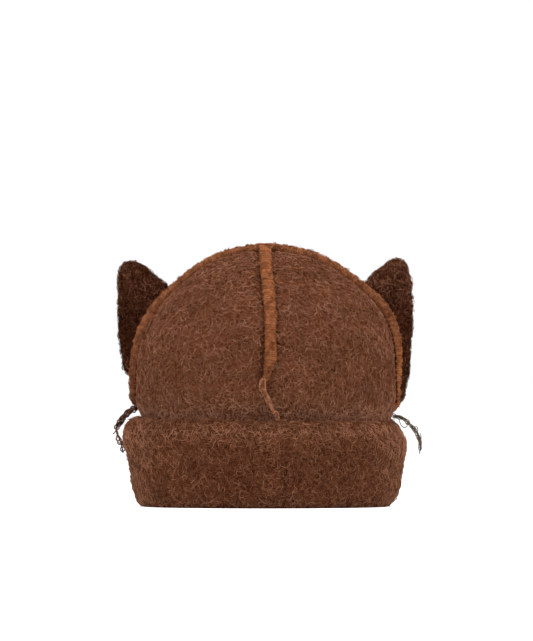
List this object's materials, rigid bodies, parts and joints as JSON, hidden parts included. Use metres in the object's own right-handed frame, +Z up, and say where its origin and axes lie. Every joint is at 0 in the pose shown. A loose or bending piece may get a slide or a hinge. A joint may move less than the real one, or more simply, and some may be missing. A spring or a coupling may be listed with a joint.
{
  "type": "baby hat",
  "caption": "Baby hat of thick brushed knit, with a turned-up cuff, overlocked seams left on the outside, loose thread tails and pointed ears.",
  "frame": {"origin": "on the surface that the hat stands on, under the middle of its rim", "axes": "+Z up through the crown, -Y out of the face with the centre seam and its thread tail, +X to the right of someone who looks at that face"},
  "size_m": [0.163, 0.1606, 0.1392],
  "materials": {
    "crown_knit": "brushed wool knit, warm brown, matte and fuzzy",
    "cuff_knit": "the same brushed wool knit, a little darker where it is folded",
    "overlock_thread": "spun thread in rust brown, matte",
    "ear_knit": "brushed wool in very dark brown, matte and fuzzy",
    "tail_thread": "twisted thread, dark brown, matte"
  },
  "bodies": {
    "root": {"panel_front_left": "crown_knit", "panel_front_right": "crown_knit", "panel_back_right": "crown_knit", "panel_back_left": "crown_knit", "cuff": "cuff_knit", "arch_seam": "overlock_thread", "front_seam": "overlock_thread", "back_seam": "overlock_thread", "ear_left": "ear_knit", "ear_right": "ear_knit", "front_tail": "overlock_thread", "left_tail": "tail_thread", "right_tail": "tail_thread"}
  },
  "joints": []
}
